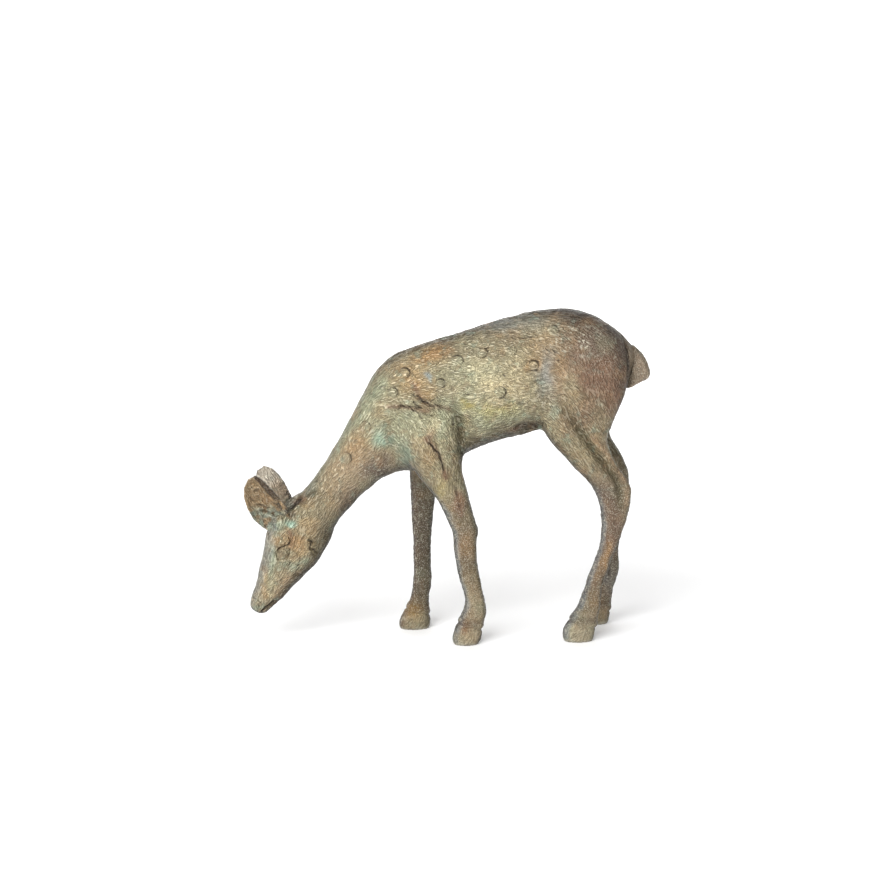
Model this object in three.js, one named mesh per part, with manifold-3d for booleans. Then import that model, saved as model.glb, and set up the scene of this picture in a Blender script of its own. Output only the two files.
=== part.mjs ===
// Grazing fawn statuette: a hollow bronze, cast in sections that are pinned together.
//
// Frame: millimetres, +Z up, the fawn faces -X, and its left side is -Y.
// The origin is the middle of the footprint, on the surface that the hooves stand on.
//
// Every limb is a loft through stations. A station has two points on the contours of the
// side view, the half width across the figure, and the sideways place of its middle.

import * as THREE from "three";
import { LoftGeometry } from "three/addons/geometries/LoftGeometry.js";
import { mergeVertices } from "three/addons/utils/BufferGeometryUtils.js";
import Module from "manifold-3d";

const wasm = await Module();
wasm.setup();

const LEFT = -1;
const RIGHT = 1;
const UP = new THREE.Vector3(0, 0, 1);
const at = (x, y, z) => new THREE.Vector3(x, y, z);

// ---- driving dimensions -------------------------------------------------------------

const FORWARD_SHIFT = 0.5; // brings the middle of the footprint to the origin
const WALL = 3.5; // casting wall of the hollow parts
const GAP = 0.3; // clearance between two castings
const SLEEVE_WALL = 2.2; // the neck's two sleeves slide inside the torso and the head
const SLEEVE_LENGTH = 9;
const LEG_TENON_RADIUS = 4.2;
const LEG_TENON_LENGTH = 13;
const LEG_TENON_ROOT = 2; // a tenon starts this far inside the leg it belongs to
const PIN_RADIUS = 1.5; // bronze pins across the joints
const PIN_INSET = 0.8; // a pin stops this far under the chased surface
const PLUG_RADIUS = 1.6; // plugs in the holes that the core pins left
const CORE_HOLE_RADIUS = 6.5; // the hole under the belly that the core came out through
const FORELEG_SEAM = 92; // heights of the leg joints
const HIND_LEG_SEAM = 105;
const BODY_MIDDLE = 45; // between the forelegs and the hind legs
const FAR = 400; // larger than the figure, for cutting blocks

const bronze = new THREE.MeshStandardMaterial({
  color: 0x8f7f66,
  roughness: 0.48,
  metalness: 0.85,
});
const pinBronze = new THREE.MeshStandardMaterial({
  color: 0xa9793f,
  roughness: 0.35,
  metalness: 0.95,
});

// ---- stations -----------------------------------------------------------------------

const spine = (rows) =>
  rows.map(([upperX, upperZ, lowerX, lowerZ, halfWidth]) => ({
    first: [upperX, upperZ],
    second: [lowerX, lowerZ],
    halfWidth,
    y: 0,
  }));

// upper contour x and z, lower contour x and z, half width
const TORSO = spine([
  [-47, 152, -43, 116, 10],
  [-41, 162, -35, 106, 16],
  [-30, 171.5, -26, 102.5, 18.5],
  [-14, 177.5, -12, 103, 20.5],
  [2, 182, 3, 108, 21.5],
  [18, 187, 18, 116, 22.5],
  [33, 191.5, 33, 120.5, 22.5],
  [48, 195, 48, 124.5, 22],
  [62, 197, 61, 128, 22],
  [76, 196, 74, 130, 22.5],
  [88, 191.5, 84, 133, 21.5],
  [98, 185, 93.5, 138, 18.5],
  [106, 178, 101, 145, 13],
  [109, 173, 106, 154, 6],
]);

const NECK = spine([
  [-24, 168, -16, 106, 16],
  [-37, 164, -24, 103, 16],
  [-46, 153, -32, 100.5, 15],
  [-53, 141, -39, 97, 13.5],
  [-62, 124, -47, 91, 12],
  [-71.5, 108, -55, 83, 11],
  [-80.5, 96, -63, 74, 10.5],
  [-88, 87.5, -69.5, 63, 11],
  [-95, 80, -74.5, 54, 11.5],
]);

const HEAD = spine([
  [-84, 92, -66, 69, 10],
  [-92.5, 86, -68.5, 62, 11.5],
  [-102, 76, -73, 54, 12.3],
  [-106.5, 66, -77, 47.5, 12.4],
  [-108, 56, -82.5, 42, 11.6],
  [-110.5, 46, -89.5, 35, 9.8],
  [-113, 36.5, -95.5, 28, 8],
  [-115, 30.5, -100.5, 24, 7],
  [-117, 24.5, -105, 19.5, 6.6],
  [-116.5, 20.5, -107.5, 17.5, 5],
  [-113.5, 18, -110.5, 17, 2.2],
]);

// From the root down to the tip, outer contour first.
const TAIL = spine([
  [104.2, 178.8, 101, 171.5, 3.8],
  [109.6, 174.2, 103.5, 166, 5.8],
  [114.9, 169.2, 105.5, 159.5, 6.6],
  [118, 163.4, 106, 155, 6.6],
  [117.8, 158.2, 106, 151.5, 5.6],
  [113.8, 154.2, 106, 149.2, 3],
]);

// Legs have level sections: height, front x, rear x, half width, distance from the middle.
const leg = (side, ...tables) =>
  tables.flat().map(([z, front, rear, halfWidth, out]) => ({
    first: [front, z],
    second: [rear, z],
    halfWidth,
    y: side * out,
  }));

const SHOULDER = [
  [109, -22, 8.5, 8, 15],
  [119, -26, 10.5, 8.6, 15],
  [129, -28, 7.5, 8.8, 15],
  [139, -29, 2.5, 8.4, 14.5],
  [149, -29, -8, 7, 13.4],
  [156, -27, -16, 4, 12],
];

const LEFT_FORELEG = leg(
  LEFT,
  [
    [0, 2.5, 18.5, 6.3, 15],
    [2, 2, 19, 6.6, 15],
    [7, 3, 20.5, 6.5, 15],
    [12, 4.5, 21, 6.1, 15],
    [17, 7, 22.5, 5.7, 15],
    [22, 9, 22.5, 5.3, 15],
    [27, 10, 21.5, 4.8, 15],
    [36, 7.5, 19.5, 4.7, 15],
    [48, 4.5, 17.5, 4.9, 15],
    [60, 3, 16.5, 5.3, 15],
    [69, 2, 17.5, 5.8, 15],
    [77, -1.5, 15, 6, 15],
    [85, -5, 13, 6.3, 15],
    [92, -9.5, 11.5, 6.8, 15],
    [100, -16.5, 10, 7.4, 15],
  ],
  SHOULDER,
);

const RIGHT_FORELEG = leg(
  RIGHT,
  [
    [0, -28, -9.5, 6.3, 15],
    [2, -28.5, -8.5, 6.6, 15],
    [7, -27, -8.5, 6.5, 15],
    [12, -24.5, -9, 6, 15],
    [17, -22, -9.5, 5.2, 15],
    [22, -20.5, -9, 5, 15],
    [29, -19.5, -7.5, 5, 15],
    [38, -19, -8, 4.6, 15],
    [52, -19, -8, 4.7, 15],
    [64, -19.5, -7.5, 5.3, 15],
    [76, -20, -6.5, 5.8, 15],
    [85, -20.5, -5, 6.3, 15],
    [92, -21, -3.5, 6.8, 15],
    [100, -22, 0, 7.4, 15],
  ],
  SHOULDER,
);

const THIGH = [
  [150, 54, 103.5, 11.2, 12.4],
  [164, 60, 105, 10.4, 11.6],
  [176, 67, 99, 8, 10.4],
  [184, 75, 91, 4.6, 9],
];

const LEFT_HIND_LEG = leg(
  LEFT,
  [
    [0, 69, 87, 6.2, 15],
    [2, 68, 87.5, 6.5, 15],
    [7, 68.5, 88.5, 6.4, 15],
    [12, 71.5, 89.5, 6, 15],
    [17, 74.5, 90, 5.6, 15],
    [22, 77.5, 91, 5.2, 15],
    [31, 80.5, 91, 4.6, 15],
    [42, 84, 94.5, 4.5, 14.8],
    [52, 87.5, 97.5, 4.6, 14.6],
    [62, 90, 101.5, 4.9, 14.4],
    [72, 90, 104.5, 5.3, 14.2],
    [82, 89, 107, 5.8, 14],
    [90, 86, 107.5, 6.3, 14],
    [98, 81, 104.3, 7.1, 14],
    [105, 73.5, 99.6, 8, 14],
    [114, 65.5, 94.8, 9, 14],
    [124, 56, 92.8, 10, 13.8],
    [136, 52.5, 98, 10.8, 13.2],
  ],
  THIGH,
);

const RIGHT_HIND_LEG = leg(
  RIGHT,
  [
    [0, 83, 102, 6.2, 15],
    [2, 82, 102.5, 6.5, 15],
    [7, 83, 103, 6.4, 15],
    [13, 86, 103.5, 6, 15],
    [19, 89, 104, 5.5, 15],
    [25, 92.5, 105.5, 5.2, 15],
    [33, 93.5, 107.5, 5.2, 15],
    [39, 95, 108, 4.8, 15],
    [48, 96, 107, 4.5, 14.8],
    [58, 97.5, 109, 4.7, 14.6],
    [70, 98, 111.5, 5.2, 14.2],
    [81, 96, 113, 5.8, 14],
    [89, 91.5, 112.5, 6.3, 14],
    [97, 86, 111.5, 7.1, 14],
    [105, 79, 108, 8, 14],
    [114, 68, 103, 9, 14],
    [124, 56, 98.5, 10, 13.8],
    [136, 52.5, 99.5, 10.8, 13.2],
  ],
  THIGH,
);

// ---- lofts --------------------------------------------------------------------------

// A loft through the stations, smooth between them. from and to are its ends as shares of
// the length, inset makes it smaller all round, flare widens its sections towards the
// first contour, and power squares them off.
function loft(stations, { sides, rings, from = 0, to = 1, inset = 0, flare = 0, power = 2 }) {
  const smooth = (pick) => new THREE.CatmullRomCurve3(stations.map(pick), false, "catmullrom");
  const first = smooth((station) => at(station.first[0], 0, station.first[1]));
  const second = smooth((station) => at(station.second[0], 0, station.second[1]));
  const across = smooth((station) => at(0, station.y, station.halfWidth));
  const squared = (value) => Math.sign(value) * Math.abs(value) ** (2 / power);

  const sections = Array.from({ length: rings + 1 }, (_, i) => {
    const t = from + ((to - from) * i) / rings;
    const middle = first.getPoint(t).add(second.getPoint(t)).multiplyScalar(0.5);
    const depth = first.getPoint(t).sub(middle);
    depth.setLength(depth.length() - inset);
    middle.y = across.getPoint(t).y;
    const width = across.getPoint(t).z - inset;
    return Array.from({ length: sides }, (_, j) => {
      const angle = (2 * Math.PI * j) / sides;
      const share = squared(Math.cos(angle));
      const out = squared(Math.sin(angle)) * (1 + flare * share);
      const point = middle.clone().addScaledVector(depth, share);
      point.y += width * out;
      return point;
    });
  });

  const rising = second.getPoint(to).sub(second.getPoint(from));
  const facing = first.getPoint(from).sub(second.getPoint(from));
  if (rising.cross(facing).y < 0) sections.forEach((section) => section.reverse());
  return new LoftGeometry(sections, { capStart: true, capEnd: true });
}

// ---- solids -------------------------------------------------------------------------

function solid(geometry) {
  geometry.deleteAttribute("normal");
  geometry.deleteAttribute("uv");
  const merged = mergeVertices(new THREE.BufferGeometry().copy(geometry), 1e-4);
  return new wasm.Manifold(
    new wasm.Mesh({
      numProp: 3,
      vertProperties: merged.attributes.position.array,
      triVerts: new Uint32Array(merged.index.array),
    }),
  );
}

function part(name, body, material = bronze) {
  const { vertProperties, triVerts } = body.getMesh();
  const geometry = new THREE.BufferGeometry();
  geometry.setAttribute("position", new THREE.BufferAttribute(vertProperties, 3));
  geometry.setIndex(new THREE.BufferAttribute(triVerts, 1));
  geometry.computeVertexNormals();
  const mesh = new THREE.Mesh(geometry, material);
  mesh.name = name;
  return mesh;
}

// Everything on the side of a plane that its normal points to.
function beyond(point, normal) {
  const block = new THREE.BoxGeometry(FAR, FAR, FAR);
  block.translate(0, 0, FAR / 2);
  block.applyQuaternion(new THREE.Quaternion().setFromUnitVectors(UP, normal));
  return solid(block.translate(point.x, point.y, point.z));
}

// A round bar from one point to another.
function rod(start, end, radius, sides = 12) {
  const axis = end.clone().sub(start);
  const bar = new THREE.CylinderGeometry(radius, radius, axis.length(), sides);
  bar.translate(0, axis.length() / 2, 0);
  const turn = new THREE.Quaternion().setFromUnitVectors(at(0, 1, 0), axis.normalize());
  bar.applyQuaternion(turn);
  return solid(bar.translate(start.x, start.y, start.z));
}

// A pin or plug, and the slightly wider hole that it sits in.
const fixing = (start, end, radius) => ({
  bar: rod(start, end, radius),
  hole: rod(start, end, radius + GAP),
});

const form = (stations, options, inset = 0) => solid(loft(stations, { ...options, inset }));
const joined = (...bodies) => bodies.reduce((whole, body) => whole.add(body));
const cut = (body, ...tools) => tools.reduce((rest, tool) => rest.subtract(tool), body);
const holes = (fixings) => Object.values(fixings).map(({ hole }) => hole);

// ---- outer forms and cores ----------------------------------------------------------

const TORSO_LOFT = { sides: 28, rings: 22, flare: -0.08, power: 2.15 };
const NECK_LOFT = { sides: 20, rings: 12, power: 2.1 };
const HEAD_LOFT = { sides: 20, rings: 16, flare: 0.12, power: 2.2 };
const LEG_LOFT = { sides: 14, rings: 30, power: 2.2 };
const TAIL_LOFT = { sides: 12, rings: 7, power: 2.4 };

const TORSO_CORE = { ...TORSO_LOFT, sides: 18, rings: 10, from: 0.18, to: 0.94 };
const NECK_CORE = { ...NECK_LOFT, sides: 14, rings: 8 };
const HEAD_CORE = { ...HEAD_LOFT, sides: 14, rings: 5, to: 0.42 };

// Every leg has a tenon on top, at x, that stands in a socket of the torso.
const legs = {
  left_foreleg: { stations: LEFT_FORELEG, side: LEFT, seam: FORELEG_SEAM, x: 2, out: 15 },
  right_foreleg: { stations: RIGHT_FORELEG, side: RIGHT, seam: FORELEG_SEAM, x: -12, out: 15 },
  left_hind_leg: { stations: LEFT_HIND_LEG, side: LEFT, seam: HIND_LEG_SEAM, x: 88, out: 14 },
  right_hind_leg: { stations: RIGHT_HIND_LEG, side: RIGHT, seam: HIND_LEG_SEAM, x: 92, out: 14 },
};
const legForms = (inset = 0) =>
  Object.values(legs).map(({ stations }) => form(stations, LEG_LOFT, inset));

const trunk = joined(form(TORSO, TORSO_LOFT), form(NECK, NECK_LOFT));
const body = joined(trunk, ...legForms());
const skull = joined(form(HEAD, HEAD_LOFT), form(NECK, NECK_LOFT));
const neckCore = form(NECK, NECK_CORE, WALL);
const torsoCore = joined(form(TORSO, TORSO_CORE, WALL), neckCore);
const skullCore = joined(form(HEAD, HEAD_CORE, WALL), neckCore);

// What lies deeper than the pins' ends.
const underSkin = joined(
  form(TORSO, TORSO_LOFT, PIN_INSET),
  form(NECK, NECK_LOFT, PIN_INSET),
  form(HEAD, HEAD_LOFT, PIN_INSET),
  ...legForms(PIN_INSET),
);

// ---- joint planes -------------------------------------------------------------------

// A plane across the figure through two points of the side view, facing the muzzle.
function jointPlane([upperX, upperZ], [lowerX, lowerZ]) {
  const normal = at(lowerZ - upperZ, 0, upperX - lowerX).normalize();
  return { point: at(upperX, 0, upperZ), normal };
}

const NECK_BASE = jointPlane([-46, 153], [-31, 98]);
const THROAT = jointPlane([-87, 90], [-66, 66]);

const ahead = ({ point, normal }, by) =>
  beyond(point.clone().addScaledVector(normal, by), normal);
const behind = ({ point, normal }, by) =>
  beyond(point.clone().addScaledVector(normal, -by), normal.clone().negate());
const under = (height) => beyond(at(0, 0, height), at(0, 0, -1));

// ---- ears ---------------------------------------------------------------------------

// share of the length, width in front of the axis, width behind it, depth of the cup, thickness
const LEFT_EAR = [
  [0, 7.4, 5.4, 1.4, 5.4],
  [0.14, 10.6, 7, 2.6, 4.4],
  [0.32, 12.6, 7.6, 3.8, 3],
  [0.54, 12.4, 7, 3.6, 2.2],
  [0.74, 10.4, 5.6, 2.6, 2],
  [0.89, 7, 4.4, 1.4, 1.8],
  [0.97, 3.6, 3.4, 0.7, 1.6],
  [1, 1.4, 2.2, 0.3, 1.2],
];
const RIGHT_EAR = [
  [0, 5.4, 5.4, 1.4, 5.4],
  [0.14, 7.2, 6.2, 2.4, 4.4],
  [0.32, 8, 7.2, 3.4, 3],
  [0.54, 8, 7.6, 3.2, 2.2],
  [0.74, 6.6, 7.2, 2.4, 2],
  [0.89, 4.8, 5.8, 1.4, 1.8],
  [0.97, 3.2, 3.8, 0.7, 1.6],
  [1, 1.6, 2.2, 0.3, 1.2],
];
const EAR_ACROSS = at(0.8, 0.25, 0.5); // runs from the front rim to the rear rim
const EAR_RIM = 0.35; // thickness of the rim, as a share of the middle's
const EAR_POINTS = 9;
const EAR_TENON_RADIUS = 2.3;
const EAR_TENON_LENGTH = 7;
const EAR_TENON_SETBACK = 2; // behind the ear's axis, where the cup's wall is

// The root lies inside the head, and both cups open outwards.
function ear(side, table, root, tip) {
  const axis = tip.clone().sub(root).normalize();
  const across = at(EAR_ACROSS.x, side * EAR_ACROSS.y, EAR_ACROSS.z);
  across.addScaledVector(axis, -across.dot(axis)).normalize();
  const opening = axis.clone().cross(across).multiplyScalar(side);

  const sections = table.map(([share, front, rear, cup, thickness]) => {
    const wall = (face) =>
      Array.from({ length: EAR_POINTS }, (_, j) => {
        const place = (2 * j) / (EAR_POINTS - 1) - 1;
        const crown = 1 - place * place;
        const half = (thickness / 2) * (EAR_RIM + (1 - EAR_RIM) * crown);
        return root
          .clone()
          .lerp(tip, share)
          .addScaledVector(across, (rear - front) / 2 + ((rear + front) / 2) * place)
          .addScaledVector(opening, face * half - cup * crown);
      });
    const section = [...wall(1), ...wall(-1).reverse()];
    return side === LEFT ? section : section.reverse();
  });

  const alongTenon = (distance) =>
    root
      .clone()
      .addScaledVector(opening, -EAR_TENON_SETBACK)
      .addScaledVector(axis, distance);
  return {
    shell: solid(new LoftGeometry(sections, { capStart: true, capEnd: true })),
    ...fixing(alongTenon(-EAR_TENON_LENGTH), alongTenon(EAR_TENON_LENGTH), EAR_TENON_RADIUS),
  };
}

const ears = {
  left_ear: ear(LEFT, LEFT_EAR, at(-95.5, -7, 71), at(-113, -15, 103)),
  right_ear: ear(RIGHT, RIGHT_EAR, at(-93, 7, 73), at(-109.5, 15, 101.5)),
};

// ---- pins and plugs -----------------------------------------------------------------

for (const limb of Object.values(legs)) {
  const { side, seam, x, out } = limb;
  const foot = at(x, side * out, seam - LEG_TENON_ROOT);
  const top = at(x, side * out, seam + LEG_TENON_LENGTH);
  const pinHeight = seam + LEG_TENON_LENGTH / 2;
  limb.tenon = fixing(foot, top, LEG_TENON_RADIUS);
  limb.pin = fixing(at(x, side, pinHeight), at(x, side * 2 * out, pinHeight), PIN_RADIUS);
}

// Pins through the sleeves run outwards from the hollow.
const sleevePins = {};
for (const [label, side] of [["left", LEFT], ["right", RIGHT]]) {
  const outwards = (x, z, from) => fixing(at(x, side * from, z), at(x, side * 30, z), PIN_RADIUS);
  sleevePins[`neck_base_pin_${label}`] = outwards(-34, 127, 8);
  sleevePins[`throat_pin_${label}`] = outwards(-80, 75, 4);
}

const plugs = {
  belly_core_plug: fixing(at(44, 0, 100), at(44, 0, 145), CORE_HOLE_RADIUS),
  left_flank_plug: fixing(at(22, -8, 150), at(22, -40, 150), PLUG_RADIUS),
  right_flank_plug: fixing(at(52, 8, 158), at(52, 40, 158), PLUG_RADIUS),
  back_plug: fixing(at(36, 0, 170), at(36, 0, 210), PLUG_RADIUS),
  chest_plug: fixing(at(-10, 0, 90), at(-10, 0, 120), PLUG_RADIUS),
};

const tailTenon = fixing(at(97, 0, 169), at(112, 0, 170), 2.4);

// ---- castings -----------------------------------------------------------------------

function torsoCasting() {
  const hindPart = beyond(at(BODY_MIDDLE, 0, 0), at(1, 0, 0));
  return cut(
    body.intersect(behind(NECK_BASE, GAP / 2)),
    torsoCore,
    under(FORELEG_SEAM + GAP / 2),
    under(HIND_LEG_SEAM + GAP / 2).intersect(hindPart),
    tailTenon.hole,
    ...holes(plugs),
    ...holes(sleevePins),
    ...Object.values(legs).flatMap(({ tenon, pin }) => [tenon.hole, pin.hole]),
  );
}

function neckCasting() {
  const skin = trunk.intersect(ahead(NECK_BASE, GAP / 2)).intersect(behind(THROAT, GAP / 2));
  const sleeves = form(NECK, NECK_CORE, WALL + GAP)
    .intersect(ahead(NECK_BASE, -SLEEVE_LENGTH))
    .intersect(behind(THROAT, -SLEEVE_LENGTH));
  const hollow = form(NECK, NECK_CORE, WALL + GAP + SLEEVE_WALL);
  return cut(skin.add(sleeves), hollow, ...holes(sleevePins));
}

function headCasting() {
  return cut(
    skull.intersect(ahead(THROAT, GAP / 2)),
    skullCore,
    ...holes(ears),
    ...holes(sleevePins),
  );
}

function earCasting({ shell, bar }) {
  return cut(shell, form(HEAD, HEAD_LOFT, -GAP), form(NECK, NECK_LOFT, -GAP)).add(bar);
}

function tailCasting() {
  const rump = joined(form(TORSO, TORSO_LOFT, -GAP), ...legForms(-GAP));
  return cut(form(TAIL, TAIL_LOFT), rump).add(tailTenon.bar);
}

function legCasting({ stations, seam, tenon, pin }) {
  const lower = form(stations, LEG_LOFT).intersect(under(seam - GAP / 2));
  return cut(lower.add(tenon.bar), pin.hole);
}

// ---- the figure ---------------------------------------------------------------------

const fawn = new THREE.Group();
fawn.add(part("torso_casting", torsoCasting()));
fawn.add(part("neck_casting", neckCasting()));
fawn.add(part("head_casting", headCasting()));
fawn.add(part("tail_casting", tailCasting()));
for (const [name, piece] of Object.entries(ears)) {
  fawn.add(part(name, earCasting(piece)));
}
for (const [name, limb] of Object.entries(legs)) {
  fawn.add(part(name, legCasting(limb)));
  fawn.add(part(`${name}_pin`, limb.pin.bar.intersect(underSkin), pinBronze));
}
for (const [name, { bar }] of Object.entries(sleevePins)) {
  fawn.add(part(name, bar.intersect(underSkin), pinBronze));
}
for (const [name, { bar }] of Object.entries(plugs)) {
  fawn.add(part(name, cut(bar.intersect(body), torsoCore), pinBronze));
}
fawn.position.x = -FORWARD_SHIFT;

export default fawn;
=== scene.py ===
"""Grazing fawn, a patinated bronze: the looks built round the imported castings."""

import math

import bpy
import numpy as np
import openvdb
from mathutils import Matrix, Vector
from mathutils.kdtree import KDTree


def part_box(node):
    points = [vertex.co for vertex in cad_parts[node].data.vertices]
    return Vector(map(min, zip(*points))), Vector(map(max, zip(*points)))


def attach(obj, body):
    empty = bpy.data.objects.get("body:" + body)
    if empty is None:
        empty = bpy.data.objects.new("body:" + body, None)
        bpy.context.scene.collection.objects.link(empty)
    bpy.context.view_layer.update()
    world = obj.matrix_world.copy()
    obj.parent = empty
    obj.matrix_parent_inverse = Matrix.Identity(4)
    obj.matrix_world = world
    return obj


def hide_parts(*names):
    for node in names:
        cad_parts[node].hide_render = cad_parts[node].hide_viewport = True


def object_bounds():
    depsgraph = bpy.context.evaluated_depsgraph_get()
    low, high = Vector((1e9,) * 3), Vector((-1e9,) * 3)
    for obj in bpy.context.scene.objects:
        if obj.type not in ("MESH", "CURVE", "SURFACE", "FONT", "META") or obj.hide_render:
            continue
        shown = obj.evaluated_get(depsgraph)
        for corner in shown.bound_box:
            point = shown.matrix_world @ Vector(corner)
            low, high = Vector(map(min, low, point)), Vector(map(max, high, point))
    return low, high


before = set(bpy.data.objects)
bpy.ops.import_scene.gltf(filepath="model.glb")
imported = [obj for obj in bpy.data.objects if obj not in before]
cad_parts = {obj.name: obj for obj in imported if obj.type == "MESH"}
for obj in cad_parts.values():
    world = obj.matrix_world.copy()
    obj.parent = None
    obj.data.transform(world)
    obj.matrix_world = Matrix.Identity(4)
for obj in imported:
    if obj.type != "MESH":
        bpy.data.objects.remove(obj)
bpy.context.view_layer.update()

# Everything is worked out in millimetres, in the frame's axes: the fawn faces -x and its
# left side is -y.
MM = 0.001
VOXEL = 0.68  # of the skin's mesh
BAND = 7.0  # how far the distance field reaches from the skin
PART_BAND = 3.0  # and from the castings
CLOSING = 1.0  # hides the joint gaps and pin holes of the castings
PIN_INSET = 0.8  # how deep the pins' ends lie in the castings
FINE = 0.9  # rounding of the head, the legs and the hooves
BROAD = 2.6  # rounding where limbs run into the body
WAIST = 40  # the x between the forelegs and the hind legs
SEED = 7
scene = bpy.context.scene

CASTINGS = [
    "torso_casting",
    "neck_casting",
    "head_casting",
    "left_foreleg",
    "right_foreleg",
    "left_hind_leg",
    "right_hind_leg",
]
PLUGS = [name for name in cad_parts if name.endswith("_plug")]
PINS = [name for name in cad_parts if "_pin" in name]

EAR_ROOTS = {"left_ear": (-96, -7, 71), "right_ear": (-93.5, 7, 73)}
EAR_TIPS = {"left_ear": (-113.5, -15, 103), "right_ear": (-110, 15, 101.5)}
EAR_MOUND = 4.8  # radius of the swelling that an ear stands on
ROOT_REACH = 9.0  # how much of the ears and the tail runs on into the skin
TAIL_ROOT = (103, 0, 170)


# ---- distance fields


def node_mesh(name):
    """A CAD node's points and its triangles."""
    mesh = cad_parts[name].data
    points = np.empty(len(mesh.vertices) * 3, np.float32)
    mesh.vertices.foreach_get("co", points)
    mesh.calc_loop_triangles()
    triangles = np.empty(len(mesh.loop_triangles) * 3, np.int32)
    mesh.loop_triangles.foreach_get("vertices", triangles)
    return points.reshape(-1, 3) / MM, triangles.reshape(-1, 3)


def corners(box):
    return (np.array(corner) / MM for corner in box)


def cell_corners(cells, part):
    """The eight corners of some cells, each with its weight for interpolation."""
    for corner in range(8):
        bits = np.array([(corner >> k) & 1 for k in range(3)])
        yield (cells + bits).T, np.where(bits, part, 1 - part).prod(axis=1)


class Grid:
    """A block of the model's space in voxels, and distance fields on it."""

    def __init__(self, low, high, voxel):
        self.voxel = voxel
        self.first = np.floor(np.array(low) / voxel).astype(int)
        last = np.ceil(np.array(high) / voxel).astype(int)
        self.shape = tuple(int(n) for n in last - self.first + 1)
        self.corner = tuple(int(n) for n in self.first)

    def distance(self, points, faces, band=BAND):
        """The signed distance to a closed mesh of triangles or quads, negative inside."""
        kind = "triangles" if faces.shape[1] == 3 else "quads"
        volume = openvdb.FloatGrid.createLevelSetFromPolygons(
            points.astype(np.float32),
            transform=openvdb.createLinearTransform(voxelSize=self.voxel),
            halfWidth=band / self.voxel,
            **{kind: faces.astype(np.uint32)},
        )
        field = np.empty(self.shape, np.float32)
        volume.copyToArray(field, ijk=self.corner)
        return field

    def surface(self, field, level=0.0):
        """The mesh where the field crosses a level: points and quads."""
        volume = openvdb.FloatGrid(float(field.max()))
        volume.transform = openvdb.createLinearTransform(voxelSize=self.voxel)
        volume.copyFromArray(field, ijk=self.corner)
        points, quads = volume.convertToQuads(level)
        return points.astype(float), quads.astype(np.int64)

    def axes(self):
        """The coordinates of the voxels, ready to broadcast."""
        lines = [(self.first[k] + np.arange(self.shape[k])) * self.voxel for k in range(3)]
        return np.ix_(*[line.astype(np.float32) for line in lines])

    def sample(self, field, points):
        """The field at any points, by trilinear interpolation."""
        place = points / self.voxel - self.first
        place = np.clip(place, 0, np.array(self.shape) - 1.001)
        cells = place.astype(int)
        total = np.zeros(len(points))
        for (i, j, k), weight in cell_corners(cells, place - cells):
            total += weight * field[i, j, k]
        return total


def blurred(field, sigma):
    """Gaussian blur, sigma in voxels."""
    reach = max(1, int(math.ceil(2.6 * sigma)))
    weights = np.exp(-0.5 * (np.arange(-reach, reach + 1) / sigma) ** 2)
    weights /= weights.sum()
    for axis in range(3):
        pads = [(reach, reach) if k == axis else (0, 0) for k in range(3)]
        padded = np.pad(field, pads, "edge")
        result = np.zeros_like(field)
        for k, weight in enumerate(weights):
            window = [slice(None)] * 3
            window[axis] = slice(k, k + field.shape[axis])
            result += np.float32(weight) * padded[tuple(window)]
        field = result
    return field


def largest_part(points, quads):
    """Only the outer skin: the connected part with the largest box."""
    label = np.arange(len(points))
    while True:
        lowest = label[quads].min(1)
        new = label.copy()
        for k in range(4):
            np.minimum.at(new, quads[:, k], lowest)
        new = new[new]
        if (new == label).all():
            break
        label = new
    parts = [label == name for name in np.unique(label)]
    member = max(parts, key=lambda part: np.ptp(points[part], axis=0).sum())
    index = np.cumsum(member) - 1
    return points[member], index[quads[member[quads].all(1)]]


def ball(axes, centre, radius):
    """The distance field of a ball."""
    x, y, z = axes
    cx, cy, cz = centre
    return np.sqrt((x - cx) ** 2 + (y - cy) ** 2 + (z - cz) ** 2) - radius


def step(value, start, end):
    """0 before start and 1 after end, smooth between them."""
    share = np.clip((value - start) / (end - start), 0, 1)
    return share * share * (3 - 2 * share)


def fade(offset, reach, other=0.0, other_reach=1.0):
    """1 where the offsets are 0, fading away over their reach."""
    return np.exp(-((offset / reach) ** 2) - (other / other_reach) ** 2)


def above_legs(x, z, fore, hind):
    """0 on the legs and 1 above them, with the heights between which it changes."""
    return np.where(x < WAIST, step(z, *fore), step(z, *hind))


def normals_of(points, quads):
    """Smooth vertex normals."""
    a, b, c, d = (points[quads[:, k]] for k in range(4))
    face = np.cross(c - a, d - b)
    total = np.empty_like(points)
    for axis in range(3):
        share = np.repeat(face[:, axis], 4)
        total[:, axis] = np.bincount(quads.ravel(), share, len(points))
    return total / np.maximum(np.linalg.norm(total, axis=1, keepdims=True), 1e-9)


def solid_skin(grid):
    """The field of the whole figure as one solid, without its ears and its tail."""
    field = None
    for name in CASTINGS + PLUGS:
        part = grid.distance(*node_mesh(name), band=PART_BAND)
        field = part if field is None else np.minimum(field, part)
    for name in PINS:
        field = np.minimum(field, grid.distance(*node_mesh(name), band=PART_BAND) - PIN_INSET)
    axes = grid.axes()
    roots = {**EAR_ROOTS, "tail_casting": TAIL_ROOT}
    for name, root in roots.items():
        part = grid.distance(*node_mesh(name), band=PART_BAND)
        field = np.minimum(field, np.maximum(part, ball(axes, root, ROOT_REACH)))
    for name, root in EAR_ROOTS.items():
        place = np.array(root) + 0.1 * (np.array(EAR_TIPS[name]) - root)
        field = np.minimum(field, ball(axes, place, EAR_MOUND))
    points, quads = largest_part(*grid.surface(field, CLOSING))
    return grid.distance(points, quads) + CLOSING


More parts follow.
